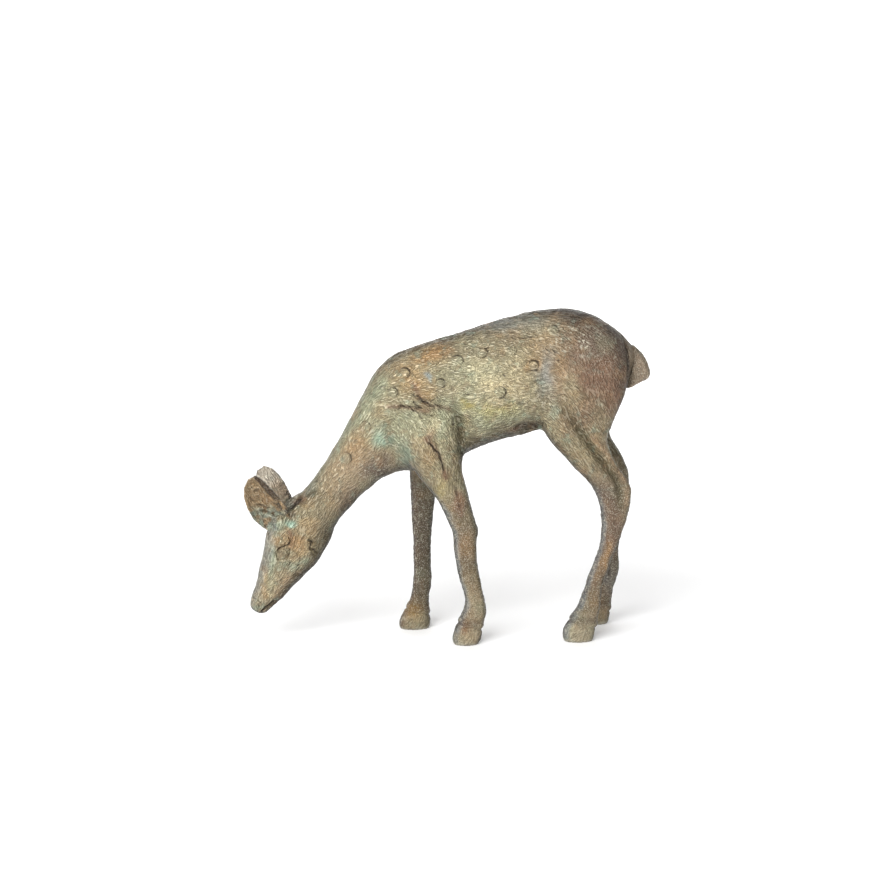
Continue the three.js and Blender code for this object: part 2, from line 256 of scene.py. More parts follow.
def rounded_skin(grid):
    """Broadly rounded on the body, finely on the head and the legs."""
    skin = solid_skin(grid)
    x, y, z = grid.axes()
    fine = blurred(skin, FINE / VOXEL)
    broad = blurred(skin, BROAD / VOXEL)
    body = above_legs(x, z, (82, 108), (96, 124))
    body = body * step(x + 0.55 * z, -60, -38)
    return fine + (broad - fine) * body.astype(np.float32)


# ---- surface detail


def noise(points, cell, seed=0):
    """Smooth value noise from -1 to 1."""
    place = points / cell + 31.7 * seed
    base = np.floor(place).astype(np.int64)
    part = place - base
    part = part * part * (3 - 2 * part)
    total = np.zeros(len(points))
    for (i, j, k), weight in cell_corners(base, part):
        code = (i * 73856093) ^ (j * 19349663) ^ (k * 83492791) ^ ((seed + SEED) * 2654435)
        code = ((code ^ (code >> 13)) * 1274126177) & 0xFFFFFFFF
        value = ((code >> 9) & 0xFFFF) / 32767.5 - 1
        total += weight * value
    return total


def wander(points, cell, seed):
    """Smooth noise along each axis."""
    return np.stack([noise(points, cell, seed + k) for k in range(3)], 1)


# The lie of the coat in the side view: x, z and the angle of the hairs above +x.
COAT = [
    (-112, 28, 63), (-104, 50, 66), (-88, 50, 52), (-98, 72, 75), (-80, 80, 55),
    (-64, 104, 55), (-48, 128, 58), (-38, 112, 50), (-36, 152, 48), (-24, 164, 32),
    (-4, 176, 18), (28, 186, 12), (60, 192, -2), (84, 190, -32), (104, 176, -55),
    (12, 162, 6), (12, 146, 2), (14, 128, 8), (36, 150, -4), (36, 132, 6),
    (38, 170, -14), (54, 172, -24), (56, 150, -42), (66, 138, -52), (76, 160, -48),
    (92, 160, -66), (84, 132, -60), (98, 140, -72), (-28, 146, -28), (-20, 134, -45),
    (-26, 120, -30), (-8, 126, -58), (2, 132, -75), (-2, 108, -74), (4, 90, -82),
    (8, 60, 86), (14, 30, 70), (8, 8, 70), (-16, 90, 90), (-14, 50, 90), (-18, 12, 60),
    (78, 116, -56), (92, 104, -58), (100, 88, -78), (96, 66, 84), (88, 44, 76),
    (82, 20, 64), (100, 60, 88), (100, 30, 88),
]
COAT_REACH = 13.0


def coat_direction(points, normals):
    """The direction of the hairs, along the surface and a little unruly."""
    across = np.zeros(len(points))
    along = np.zeros(len(points))
    for x, z, angle in COAT:
        apart = (points[:, 0] - x) ** 2 + (points[:, 2] - z) ** 2
        weight = np.exp(-apart / (2 * COAT_REACH**2)) + 1e-9
        along += weight * math.cos(2 * math.radians(angle))
        across += weight * math.sin(2 * math.radians(angle))
    angle = 0.5 * np.arctan2(across, along) + 0.3 * noise(points, 11.0, 3)
    flow = np.stack([np.cos(angle), np.zeros(len(points)), np.sin(angle)], axis=1)
    flow -= (flow * normals).sum(1, keepdims=True) * normals
    flow /= np.maximum(np.linalg.norm(flow, axis=1, keepdims=True), 1e-6)
    turn = (0.32 * noise(points, 4.5, 38) + 0.22 * noise(points, 2.4, 39))[:, None]
    return flow * np.cos(turn) + np.cross(normals, flow) * np.sin(turn)


def streaks(points, flow, cell, length, seed):
    """Noise drawn out along the hairs, about -1 to 1."""
    total = np.zeros(len(points))
    for offset in np.linspace(-0.5, 0.5, 9):
        total += noise(points + flow * (offset * length), cell, seed)
    return total / 3.2


def near_line(points, line):
    """Distance in the side view to a line through (x, z) places, and the share along it."""
    place = points[:, [0, 2]]
    nearest = np.full(len(points), 1e9)
    share = np.zeros(len(points))
    ends = np.array(line, float)
    lengths = np.linalg.norm(np.diff(ends, axis=0), axis=1)
    whole = lengths.sum()
    before = 0.0
    for start, end, length in zip(ends[:-1], ends[1:], lengths):
        run = (end - start) / length
        travel = np.clip((place - start) @ run, 0, length)
        apart = np.linalg.norm(place - start - travel[:, None] * run, axis=1)
        closer = apart < nearest
        nearest[closer] = apart[closer]
        share[closer] = (before + travel[closer]) / whole
        before += length
    return nearest, share


LEFT, RIGHT = -1, 1

# Forms along a line of the side view, alike on both sides: height, half width, and the
# places that the line goes through.
FORMS = [
    # shoulder and upper foreleg
    (-0.9, 0.55, (-21, 157), (-19.8, 153), (-20.6, 151), (-17, 149), (-16.6, 147), (-13, 146.6),
        (-11.5, 144), (-8, 145), (-4.1, 143.2), (-1, 141.8)),
    (-0.9, 0.55, (-35, 144), (-32, 141.6), (-29.5, 142.2), (-27.5, 144.6), (-23, 143.8), (-21, 141.8),
        (-17.5, 143.6), (-13, 142.4)),
    (-0.6, 0.5, (-23, 150), (-20.5, 147), (-21.5, 145.5), (-18.5, 144)),
    (-0.6, 0.5, (-14, 150.5), (-10.5, 148), (-7, 148.6), (-5, 146.4)),
    (-0.5, 0.5, (-18, 140.6), (-14, 139), (-11, 139.6), (-9, 137.8)),
    (1.0, 1.8, (-25, 151), (-19, 147.5), (-14, 142), (-7, 140.5)),
    (0.7, 1.5, (-34, 140), (-28, 141.5), (-22, 139.5)),
    (-0.4, 0.7, (-31, 139), (-25, 134), (-20, 128)),
    (-0.4, 0.7, (-24, 138), (-18, 132), (-13, 127)),
    (1.9, 3.6, (-3.5, 139), (-2.5, 133), (-3.5, 127)),
    (1.1, 2.2, (-2.5, 126), (-2.5, 118), (-0.5, 110)),
    (-2.6, 2.8, (2, 142.5), (6, 135), (6, 124), (6.5, 113)),
    (-0.9, 0.7, (-0.8, 141), (2.2, 135), (1.6, 128)),
    (-1.3, 0.7, (-14, 125.5), (-12.4, 123), (-9.6, 120.8), (-6.4, 115.5), (-4.6, 110.6), (-3.1, 104.6)),
    (-0.6, 0.5, (-10, 125.5), (-8, 123), (-7.4, 120.5)),
    (0.9, 1.8, (-16, 122), (-12, 115), (-8, 107)),
    (1.2, 3.2, (-29, 130), (-22, 118), (-13, 104)),
    (-0.5, 0.7, (1, 101), (3, 96), (5, 89), (6.4, 81.6)),
    (-0.5, 0.6, (-1, 104), (0, 98), (-1, 92)),
    (0.8, 1.1, (4.6, 78.4), (5.4, 76)),
    (0.6, 0.8, (6, 43), (10, 40), (14, 38)),
    (0.6, 0.8, (7, 39.5), (11, 37), (14, 34.5)),
    (-1.6, 6.0, (-37, 138), (-33, 116)),
    # hindquarters
    (-2.2, 2.4, (67.5, 137.6), (73.3, 129.9), (79.3, 121.9), (84.5, 114.9), (90.7, 107.6), (97, 99.3),
        (100.4, 89), (101.7, 82.8)),
    (1.4, 2.3, (80, 130), (84, 122.7), (91, 115.5), (97.5, 106.1), (104, 96.5), (105, 86.6)),
    (0.9, 9.0, (74, 166), (80, 154)),
    (-1.2, 3.5, (50, 166), (54, 154), (57, 142)),
    (0.8, 3.0, (58, 150), (62, 138), (68, 127)),
    (-1.8, 2.2, (37, 128.4), (43.7, 131.2), (50, 130.4), (56, 131.5)),
    (0.9, 1.3, (40, 124.5), (48, 127.5), (55, 128.5)),
    (-0.9, 0.9, (99, 42), (101, 36), (100, 30)),
    (-1.0, 0.7, (100.5, 180), (103, 172), (103.2, 163), (102, 154)),
    # face: brow, lids, tear crease, cheek, jaw, mouth, nostril
    (-1.0, 0.42, (-100.9, 58.3), (-99.5, 59.9), (-96.1, 61.3), (-93.2, 62.3), (-92.3, 64.7),
        (-93.4, 66.6), (-92.6, 68)),
    (1.0, 1.1, (-101.6, 60.6), (-98.5, 62.8), (-95, 64.4)),
    (-0.8, 0.4, (-101.4, 58.3), (-101.2, 56.2), (-100.8, 54), (-99.5, 52.3)),
    (-0.9, 0.42, (-93.6, 61), (-92.9, 58.9), (-93.2, 56.8), (-94.1, 54.6), (-95.6, 53)),
    (0.8, 0.6, (-95.2, 53.6), (-97.3, 51.2), (-99.9, 52.6)),
    (0.7, 0.9, (-91.6, 61.2), (-91.3, 57.7), (-93, 54)),
    (-0.5, 0.4, (-98.8, 57.6), (-97.8, 58.6), (-96.4, 57.8), (-96.6, 55.8), (-98, 55)),
    (-1.0, 0.6, (-80.2, 66.6), (-81.8, 64.4), (-80, 62.1), (-81.9, 59.9), (-80.7, 58.7), (-78.7, 57.9),
        (-78, 56.5), (-76.3, 54.6)),
    (-0.6, 0.5, (-79.2, 58.2), (-80.2, 55.8), (-79.2, 53.6)),
    (0.9, 1.4, (-83.2, 65), (-83.8, 60.5), (-82.4, 57.5), (-80.6, 55.8)),
    (0.8, 1.2, (-83.3, 49.5), (-85.8, 46.6), (-88.4, 43.3)),
    (0.9, 5.0, (-87, 56), (-90, 50)),
    (-0.7, 1.4, (-103.1, 52.2), (-102.6, 47), (-104.5, 41.5)),
    (0.6, 1.6, (-99, 49), (-100, 44), (-102.5, 36)),
    (-0.6, 1.2, (-84, 49), (-91, 42), (-98, 33)),
    (-1.5, 0.6, (-111, 17.4), (-110.4, 19.6), (-108, 22), (-105.4, 24), (-102.8, 26.4)),
    (0.7, 0.9, (-107.6, 19.6), (-104.5, 22.8), (-101.5, 25.5)),
    (-0.6, 0.6, (-117, 28.5), (-113, 27), (-110.8, 24)),
    (-0.9, 0.5, (-113.2, 25), (-112.4, 23.6), (-111.5, 21.9)),
    (0.6, 0.9, (-114.6, 23.6), (-114, 21)),
    (-0.4, 0.5, (-110.2, 31.2), (-109.8, 31.8)),
    (-1.3, 0.9, (-93, 82.6), (-90.7, 84.6), (-87.4, 87.1), (-84.5, 88.8)),
]
RAGGED = 0.8  # how far the lines wander
NARROW = 1.4  # half width up to which a form is a crease, with dirt in it


def formed(points, normals):
    """How far each point moves outwards for the muscles and creases, and the creases alone."""
    height = np.zeros(len(points))
    creases = np.zeros(len(points))
    face = step(points[:, 0] + 0.4 * points[:, 2], -58, -66)
    moved = points + (RAGGED * (1 - 0.8 * face))[:, None] * wander(points, 3.5, 11)
    facing = step(np.abs(normals[:, 1]), 0.12, 0.5)
    for amount, width, *line in FORMS:
        apart, share = near_line(moved, line)
        taper = step(share, -0.05, 0.2) * step(1 - share, -0.05, 0.2)
        mark = amount * fade(apart, width) * taper * facing
        height += mark
        if width < NARROW:
            creases += mark
    return height, creases


# Ring spots of the coat: x, z, radius, and how strongly the ring is cut.
SPOTS = [
    (-26, 163, 3.1, 1.0), (-33, 152, 3.0, 0.9), (-6, 158, 2.6, 0.9), (4, 170, 3.2, 0.8),
    (18, 175, 3.0, 0.9), (29.5, 152, 3.3, 0.9), (29.5, 151.5, 1.4, 0.6), (47, 168, 2.9, 1.0),
    (59, 187, 3.2, 0.7), (-49, 132, 3.0, 0.6), (-60, 113, 3.4, 0.8), (34, 175.5, 3.4, 0.5),
    (42.5, 185, 2.8, 0.4), (-78, 96, 3.2, 0.4), (11, 154.6, 2.4, 0.4), (17, 151, 2.4, 0.4),
    (0.2, 107.5, 1.7, 0.8), (24, 165, 2.7, 0.35), (-18, 172, 2.8, 0.3), (78, 176, 3.0, 0.2),
]


def surface_place(points, x, z, side):
    """The point of the skin that a place of the side view falls on."""
    apart = (points[:, 0] - x) ** 2 + (points[:, 2] - z) ** 2
    apart = apart + np.where(points[:, 1] * side > 0, 0, 1e6)
    close = np.argsort(apart)[:12]
    return points[close[np.argmax(points[close, 1] * side)]]


def spotted(points):
    """Height of the ring spots, and how far each point is inside one."""
    height = np.zeros(len(points))
    disc = np.zeros(len(points))
    for side in (LEFT, RIGHT):
        for number, (x, z, radius, depth) in enumerate(SPOTS):
            shift = 0 if side == LEFT else 1.7 * math.sin(2.4 * number)
            centre = surface_place(points, x + shift, z - 0.6 * shift, side)
            offset = points - centre
            apart = np.linalg.norm(offset, axis=1)
            turn = np.arctan2(offset[:, 2], offset[:, 0])
            uneven = 0.66 + 0.34 * np.cos(turn - 0.5 - 0.4 * math.sin(number))
            ring = fade(apart - radius, 0.5)
            height -= 0.75 * depth * ring * uneven
            height += 0.16 * depth * np.exp(-((apart / (0.8 * radius)) ** 6))
            within = 1 - step(apart, 0.8 * radius, 1.1 * radius)
            disc = np.maximum(disc, min(1, 1.4 * depth) * within)
    return height, disc


EYE = (-97.3, 56.8)  # its place in the side view
EYE_HALF = (3.5, 4.3)  # half its width and height
EYE_HEIGHT = 1.5  # how far it stands out


def eyed(points):
    """The eyeballs: low domes, a little pointed above and below."""
    x, _, z = points.T
    across = (x - EYE[0] - 0.25 * (z - EYE[1])) / EYE_HALF[0]
    along = (z - EYE[1]) / EYE_HALF[1]
    reach = np.abs(across) ** 1.5 + np.abs(along) ** 1.5
    return EYE_HEIGHT * step(1 - reach, -0.05, 0.75) - 0.35 * fade(reach - 1.1, 0.2)


HOOF_TOP = 13.5  # height of the coronet at the toe
HOOF_SLOPE = 0.28  # how much lower it is for each mm towards the heel
CLEFT_Y = 15  # the middle of every hoof, to the left or the right


def hoofed(points, normals):
    """Coronets and clefts of the hooves."""
    x, y, z = points.T
    height = np.zeros(len(points))
    ragged = noise(points, 2.5, 40)
    for name in CASTINGS[3:]:
        low, high = corners(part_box(name))
        side = RIGHT if low[1] + high[1] > 0 else LEFT
        near = (y * side > 4) & (z < 30) & (x > low[0] - 3) & (x < high[0] + 3)
        toe = x[near & (z < 3)].min()
        line = HOOF_TOP - HOOF_SLOPE * (x - toe)
        coronet = -0.7 * fade(z - line - 0.8 * ragged, 0.8)
        swell = 0.4 * fade(z - line - 2.6, 1.6)
        cleft = -1.3 * fade(y - side * CLEFT_Y, 0.8)
        cleft *= step(np.abs(normals[:, 0]), 0.45, 0.8) * step(line + 1.5 - z, 0, 2)
        height += np.where(near, coronet + swell + cleft, 0)
    return height


def granular(points):
    """Where the skin is stippled instead of combed, from 0 to 1."""
    x, _, z = points.T
    legs = step(x, -50, -38) * (1 - above_legs(x, z, (84, 104), (88, 112)))
    rump = fade(x - 88, 24, z - 174, 20)
    throat = fade(x + 44, 14, z - 103, 11)
    throat += 0.6 * fade(x + 70, 12, z - 70, 14)
    head = 0.5 * (1 - step(x + 0.4 * z, -85, -72))
    hooves = 0.6 * (1 - step(z, 8, 14))
    return np.clip(legs + 0.8 * rump + 0.9 * throat - head - hooves, 0, 1)


GOUGES = 2400  # how many cuts there are


def gouged(points, normals, flow, rough):
    """Short cuts of the modelling tool, mostly along the hairs."""
    random = np.random.default_rng(SEED)
    tree = KDTree(len(points))
    for number, point in enumerate(points):
        tree.insert(point, number)
    tree.balance()
    x, _, z = points.T
    chance = 0.25 + fade(x - 30, 60, z - 160, 42) + 1.5 * fade(x + 18, 14, z - 145, 6)
    chance *= 1 - 0.6 * rough
    height = np.zeros(len(points))
    for centre in random.choice(len(points), GOUGES, p=chance / chance.sum()):
        length = random.uniform(1.5, 4.2)
        width = random.uniform(0.35, 0.55)
        depth = random.uniform(-0.3, -0.05)
        bend = random.normal(0, 0.05)
        turn = random.normal(0, 0.3)
        index = np.array([item[1] for item in tree.find_range(points[centre], length)])
        offset = points[index] - points[centre]
        run = flow[centre]
        side = np.cross(normals[centre], run)
        run = run * math.cos(turn) + side * math.sin(turn)
        side = np.cross(normals[centre], run)
        along = offset @ run
        across = offset @ side - bend * along * along
        taper = np.clip(1 - (along / length) ** 2, 0, 1)
        height[index] += depth * taper * fade(across, width)
        height[index] -= 0.35 * depth * taper * fade(across - 2 * width, width)
    return height


# ---- colours


def srgb(red, green, blue):
    """A colour from its screen values, 0 to 255, as linear light."""
    values = np.array([red, green, blue]) / 255
    return np.where(values < 0.04045, values / 12.92, ((values + 0.055) / 1.055) ** 2.4)


def layered(colour, *layers):
    """A colour with others laid over it in turn, each given with its weight."""
    for tone, weight in layers:
        colour = colour * (1 - weight[:, None]) + tone * weight[:, None]
    return colour


KHAKI = srgb(152, 142, 118)
OCHRE = srgb(166, 134, 98)
SAND = srgb(204, 192, 160)
ROSE = srgb(160, 138, 114)
SAGE = srgb(158, 160, 136)
YELLOW = srgb(184, 166, 98)
VERDIGRIS = srgb(140, 166, 150)
SLATE = srgb(140, 148, 152)
RUSSET = srgb(118, 94, 78)
PLUM = srgb(100, 86, 76)
SEPIA = srgb(72, 56, 46)
MOSS = srgb(78, 72, 52)
UMBER = srgb(96, 86, 68)
GOLD = srgb(158, 128, 84)
STONE = srgb(154, 144, 124)
# dirt in hollows and knots, and painted shade where the ears and the tail meet the body
DIRT_AND_SHADE = srgb(44, 36, 26)
RUBBED = srgb(214, 208, 190)
TAIL_SKIN = srgb(150, 134, 114)
BLACK = srgb(0, 0, 0)
METALLIC = 0.5  # of bare bronze; verdigris has less
VIVID = 1.2  # how much stronger than the palette the mixed tones are
PAINTED_SHADE = 0.26  # how dark the painted shade is where the surface doesn't face the sides
HAIR_STEPS = 3  # samples of noise on either side, along a hair
HAIR_LENGTH = 1.8
HAIR_SCALE = 1150.0  # of the noise; the larger, the thinner the hairs
STIPPLE_SCALE = 1600
BUMP_DEPTH = 0.0008  # in metres

# Patches of the patina, each over the ones before: colour, x, z, reach in x and z, strength.
# the dark patches under the neck, the jaw and the belly, on the nape and at the ears' roots are painted
# shade; those on the rump and round the tail's root are partly painted shade
PATCHES = [
    (UMBER, -8, 50, 30, 46, 0.7), (PLUM, 4, 62, 12, 20, 0.4), (RUSSET, 90, 60, 24, 50, 0.8),
    (PLUM, -20, 60, 10, 46, 0.7), (ROSE, -62, 112, 20, 22, 0.6), (OCHRE, -52, 122, 16, 8, 0.4),
    (SAGE, -46, 140, 10, 10, 0.6), (ROSE, -94, 56, 10, 14, 0.5), (STONE, -109, 34, 7, 20, 0.7),
    (UMBER, -80, 90, 9, 10, 0.6), (OCHRE, -22, 160, 11, 8, 0.9), (OCHRE, -8, 172, 12, 5, 0.9),
    (OCHRE, -12, 152, 7, 6, 0.6), (OCHRE, 29, 154, 6, 5, 0.5), (OCHRE, 47, 168, 4, 4, 0.8),
    (PLUM, 12, 171, 16, 5, 0.5), (PLUM, 36, 182, 16, 5, 0.3), (ROSE, -2, 152, 7, 6, 0.5),
    (SAGE, 14, 141, 24, 12, 0.9), (SAGE, 18, 162, 14, 8, 0.8), (STONE, 30, 146, 14, 8, 0.5),
    (SAND, 24, 156, 12, 10, 0.8), (SAND, 16, 168, 12, 6, 0.5), (SAGE, 25, 138, 16, 6, 0.6),
    (ROSE, 69, 160, 7, 9, 0.6), (RUSSET, 90, 153, 9, 10, 0.6), (UMBER, 78, 26, 12, 12, 0.6),
    (DIRT_AND_SHADE, -95, 78, 4, 3, 0.6), (SAND, -106, 38, 4, 9, 0.5), (VERDIGRIS, -92, 74.5, 3, 1.6, 0.45),
    (SAND, -9, 131, 7, 9, 0.6), (SAND, -4, 110, 6, 12, 0.6), (SAND, 66, 158, 10, 9, 0.5),
    (UMBER, 93, 150, 6, 10, 0.4), (UMBER, 92, 48, 8, 12, 0.4), (UMBER, 14, 50, 10, 20, 0.35),
    (UMBER, 12, 20, 8, 5, 0.4), (SAND, 40, 160, 10, 14, 0.35), (SAND, -14, 130, 12, 11, 0.5),
    (SAND, 58, 186, 10, 6, 0.35), (SEPIA, 98, 178, 10, 8, 0.4), (RUSSET, 94, 70, 8, 20, 0.4),
    (RUSSET, 10, 60, 8, 14, 0.3), (SAGE, -4, 122, 4, 8, 0.5), (YELLOW, 9.7, 145.5, 5, 3.0, 0.55),
    (MOSS, 3, 108, 4, 11, 0.5), (YELLOW, 26, 141, 12, 5, 0.35), (SLATE, -13, 160, 2.2, 3, 0.9),
    (SAGE, -24, 136, 14, 9, 0.8), (VERDIGRIS, -37, 124, 7, 6, 0.9), (VERDIGRIS, -26, 116, 4, 10, 0.5),
    (VERDIGRIS, 60, 141, 3, 6, 0.5), (PLUM, -42, 106, 12, 9, 0.9), (PLUM, -58, 86, 10, 12, 0.8),
    (UMBER, -70, 66, 9, 16, 1.0), (RUSSET, 84, 164, 26, 26, 1.0), (PLUM, 84, 180, 22, 10, 0.7),
    (SEPIA, 84, 197, 30, 12, 1.0), (SEPIA, 104, 172, 10, 18, 0.9), (RUSSET, 98, 146, 9, 16, 0.9),
    (SLATE, 54, 162, 5, 14, 0.5), (ROSE, 62, 156, 6, 12, 0.5), (KHAKI, 69, 150, 5, 12, 0.8),
    (SLATE, 30, 190, 26, 5, 0.4), (UMBER, 24, 118, 30, 9, 0.8), (UMBER, 34, 128, 10, 5, 0.4),
    (MOSS, 8, 122, 4, 16, 0.4), (RUSSET, -11, 127, 4, 3, 0.8), (RUSSET, -3, 106, 3, 5, 0.8),
    (OCHRE, -12, 114, 4, 7, 0.6), (YELLOW, -5, 96, 4, 12, 0.25), (RUSSET, 5.5, 87, 3, 6, 0.9),
    (KHAKI, 76, 116, 9, 14, 0.5), (RUSSET, 74, 136, 10, 8, 0.6), (PLUM, 90, 92, 8, 10, 0.7),
    (PLUM, 96, 76, 7, 16, 0.6), (KHAKI, -6, 112, 9, 16, 0.5), (VERDIGRIS, -116, 22, 4, 5, 0.5),
    (VERDIGRIS, -88, 57, 9, 4, 0.3), (ROSE, 12, 26, 8, 14, 0.6), (RUSSET, 8, 12, 4, 5, 0.6),
    (STONE, 16, 5, 8, 6, 0.8), (STONE, 78, 5, 14, 8, 0.8), (SLATE, 100, 30, 5, 14, 0.4),
    (VERDIGRIS, -93.5, 74.5, 4, 1.8, 1.0), (VERDIGRIS, -101, 71, 4, 4, 0.5),
    (DIRT_AND_SHADE, -92.5, 80.5, 3.5, 3, 0.7),
]
# Bands of the patina: colour, strength, half width, and the places that they run through.
BANDS = [
    # painted shade under the jaw
    (SEPIA, 0.85, 4.0, (-76, 52), (-85.2, 42.3), (-92.2, 34), (-98.3, 26.7), (-106, 19)),
    (MOSS, 0.7, 3.0, (-79, 64), (-77, 57), (-82, 48)),
    (OCHRE, 0.4, 2.4, (-104, 62), (-100, 64), (-94, 66)),
    (RUSSET, 0.8, 1.4, (-92, 62), (-91.5, 66), (-93, 70)),
    (OCHRE, 0.6, 5.0, (-89, 64), (-86, 56)),
    (VERDIGRIS, 0.4, 2.5, (-104, 60), (-103, 52), (-105, 44)),
    (VERDIGRIS, 0.4, 3.0, (-96, 50), (-90, 48), (-84, 52)),
    (OCHRE, 0.6, 2.2, (-107, 46), (-109, 36), (-108, 30)),
    (ROSE, 0.6, 3.0, (-95, 40), (-102, 30)),
    (MOSS, 0.8, 2.2, (-92, 83), (-85, 88.6), (-78, 92)),
    (RUSSET, 0.9, 1.6, (-90, 85.5), (-84.9, 88.8)),
    # painted shade in the groove behind the elbow
    (MOSS, 0.45, 2.6, (2, 142), (6, 135), (6, 124), (6.5, 112), (6, 102)),
    (RUSSET, 0.8, 1.6, (-21, 157), (-17, 149), (-10.2, 144.5), (-1, 142)),
    (RUSSET, 0.7, 1.5, (-35, 143.5), (-27.5, 144), (-20, 142.5), (-13, 142.5)),
    (RUSSET, 0.8, 1.6, (-14, 125.5), (-8, 119), (-4.6, 110.6), (-2.6, 103)),
    (SAGE, 0.8, 2.6, (-4.5, 140), (-4, 133), (-5, 127)),
    # painted shade in the thigh's groove
    (MOSS, 0.55, 3.6, (64, 143), (73.3, 129.9), (84.5, 114.9), (97, 99.3), (100, 84)),
    (ROSE, 0.9, 1.8, (82, 125), (91, 115), (98, 105), (104, 95), (105, 84)),
    # painted shade in the groin crease
    (RUSSET, 0.9, 2.0, (37, 129), (43.7, 132), (50, 130.5)),
    (RUSSET, 0.8, 1.8, (4, 93), (5, 87), (6.4, 80)),
    (RUSSET, 0.6, 1.8, (6, 16), (8, 9)),
    (OCHRE, 0.6, 1.5, (94, 60), (92, 48), (96, 38)),
    # partly the rump's darker tone, partly painted shade along the top of the rump
    (SEPIA, 0.8, 5.0, (62, 199), (84, 194), (96, 184), (99, 172), (99, 156)),
    # painted shade in the crease at the tail's root
    (DIRT_AND_SHADE, 0.6, 0.8, (100.5, 180), (103, 172), (103.2, 163), (102, 154)),
    # painted shade under the muzzle and the jaw
    (UMBER, 0.7, 2.6, (-109, 22), (-98, 31), (-88, 41), (-78, 50)),
    # painted light along the lit top of the neck
    (SAGE, 0.95, 4.5, (-84, 98), (-66, 120), (-50, 141), (-38, 156)),
    (VERDIGRIS, 0.5, 1.2, (92, 118), (95.5, 112), (97.5, 107.5)),
]


def patched(points):
    """Patches, bands and clouds of the patina, some of them painted shade and one painted light, and
    how dull with verdigris each point is.
    """
    colour = np.tile(KHAKI, (len(points), 1))
    dull = np.zeros(len(points))
    astray = wander(points, 7.0, 21)
    moved = points + 3.0 * astray + 1.2 * noise(points, 2.2, 24)[:, None]
    for tone, x, z, reach_x, reach_z, strength in PATCHES:
        apart = ((moved[:, 0] - x) / reach_x) ** 2 + ((moved[:, 2] - z) / reach_z) ** 2
        weight = strength * np.exp(-(apart**1.3))
        colour = layered(colour, (tone, weight))
        if tone is VERDIGRIS or tone is SLATE:
            dull = np.maximum(dull, weight)
    moved = points + 0.8 * astray
    for tone, strength, width, *line in BANDS:
        apart, _ = near_line(moved, line)
        colour = layered(colour, (tone, strength * fade(apart, width)))
    # warmer and greener clouds
    cloud = noise(points, 13.0, 29) + 0.5 * noise(points, 5.0, 30)
    warm, cool = 0.3 * step(cloud, 0.1, 1.0), 0.3 * step(-cloud, 0.1, 1.0)
    return layered(colour, (OCHRE, warm), (SAGE, cool)), dull


def shaded(colour, points, normals, legs):
    """Painted shade where the surface turns from the sides, along the back, the belly and the legs'
    edges; tones on the legs' fronts; the right-hand legs darker.
    """
    x, y, z = points.T
    nx, ny, nz = normals.T
    ragged = 0.15 * noise(points, 3.0, 37)
    face = step(x, -58, -66)
    front = step(-nx + ragged, 0.3, 0.8)
    right = step(y, 0, 6) * (1 - face)
    colour = layered(
        colour,
        (SLATE, 0.6 * legs * front * (1 - right) * (1 - 0.4 * face)),
        (RUSSET, 0.6 * legs * front * right),
        # painted shade on the rear sides of the legs
        (MOSS, 0.6 * legs * step(nx + ragged, 0.3, 0.8)),
    )
    # painted shade: darker wherever the surface turns from the sides, less so on the top of the neck
    side_on = np.abs(ny) - 0.4 * np.maximum(-nz, 0)
    unshaded = step(side_on + 0.12 * noise(points, 5.0, 25), 0.2, 0.88)
    shade = PAINTED_SHADE + 0.3 * step(-x, 26, 52) * step(nz, -0.2, 0.3)
    colour = colour * (shade + (1 - shade) * unshaded)[:, None]
    # the right-hand legs are darker, except for their hooves
    inner = step(y, 2, 9) * (1 - step(z - np.where(x < WAIST, 96, 128), -6, 10))
    hoof = 1 - step(z, 8, 18)
    colour = colour * (1 - 0.45 * (inner * (1 - 0.7 * hoof))[:, None])
    return layered(colour, (MOSS, 0.6 * inner * step(x, 70, 90) * step(z, 76, 96)))


def worn(colour, points, normals, legs):
    """Bare specks where hands rub the metal, dark coronets, pale soles, one golden pastern."""
    x, y, z = points.T
    bare = fade(x - 72, 20, z - 180, 9)
    bare += 0.8 * fade(x - 54, 5, z - 148, 12)
    bare += 0.5 * (1 - step(z, 84, 100)) * step(-normals[:, 0], 0.0, 0.7)
    bare += 0.7 * fade(x + 44, 10, z - 106, 8)
    speck = step(noise(points, 1.1, 26) + 0.4 * noise(points, 3.0, 27), 0.38, 0.7)
    coronets = fade(z - HOOF_TOP - 1.2 * noise(points, 2.5, 41), 2.2) * legs
    soles = 1 - step(z + noise(points, 3.0, 28), 0.5, 2.5)
    forefoot = (y > 4) & (x < WAIST)
    return layered(
        colour,
        (RUBBED, 0.8 * np.clip(bare, 0, 1) * speck),
        (SEPIA, 0.45 * coronets),
        (RUBBED * 0.8, 0.5 * soles),
        (GOLD, 0.55 * fade(x + 20, 6, z - 12, 6) * forefoot),
    )


def painted(points, normals, shape):
    """The colour of the patina at each point, with painted shade and painted light in it, and how dull
    with verdigris it is.
    """
    colour, dull = patched(points)
    x, _, z = points.T
    # broad hollows stay dark, and the flesh behind the tail crease has the tail's tone
    hollow = step(-shape, 0.5, 2.4)
    behind = step(x + 0.08 * np.abs(z - 166), 103.6, 105) * step(z, 150, 156)
    colour = layered(colour, (MOSS, 0.55 * hollow), (TAIL_SKIN, 0.85 * behind))
    legs = 1 - above_legs(x, z, (84, 104), (80, 116))
    colour = shaded(colour, points, normals, legs)
    colour = worn(colour, points, normals, legs)
    grey = colour.mean(axis=1)[:, None]
    return np.clip(grey + VIVID * (colour - grey), 0, 1), dull


# ---- blender meshes


def placed(name, data):
    """A new object in the scene."""
    made = bpy.data.objects.new(name, data)
    scene.collection.objects.link(made)
    return made


